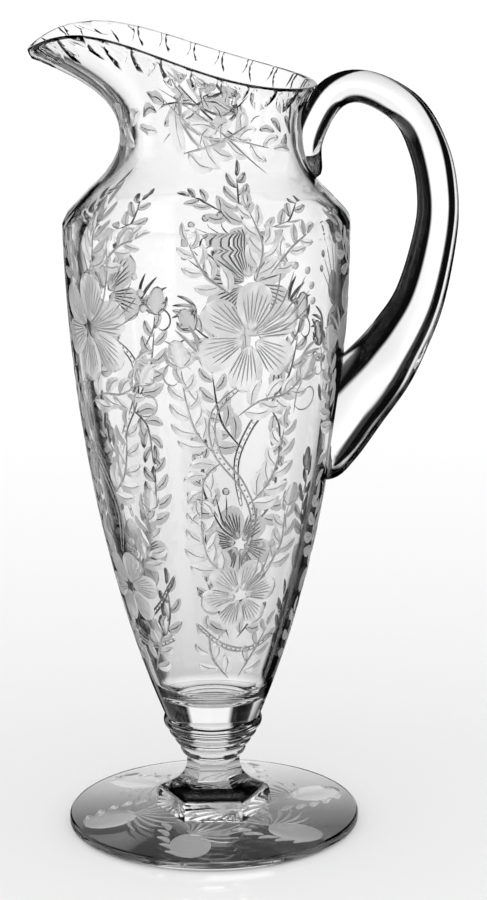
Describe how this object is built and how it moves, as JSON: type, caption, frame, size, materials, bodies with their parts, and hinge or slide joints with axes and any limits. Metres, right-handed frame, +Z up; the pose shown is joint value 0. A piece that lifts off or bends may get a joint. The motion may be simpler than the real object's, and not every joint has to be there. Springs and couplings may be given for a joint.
{
  "type": "footed glass pitcher",
  "caption": "Tall footed cut-glass pitcher with a long pouring lip, an applied rod handle, a ringed knop, a six-sided pedestal and a round foot.",
  "frame": {"origin": "centre of the foot's flat underside, on the table", "axes": "+Z up along the bowl's axis, +X towards the handle, -X towards the pouring lip, XZ is the mirror plane"},
  "size_m": [0.17, 0.12, 0.3289],
  "materials": {
    "engraved_crystal": "clear polished lead crystal with satin wheel-engraved flowers and leaves",
    "clear_crystal": "clear fire-polished and turned lead crystal"
  },
  "bodies": {
    "root": {"bowl": "engraved_crystal", "handle": "clear_crystal", "ringed_knop": "clear_crystal", "hexagonal_pedestal": "clear_crystal", "foot": "engraved_crystal"}
  },
  "joints": []
}
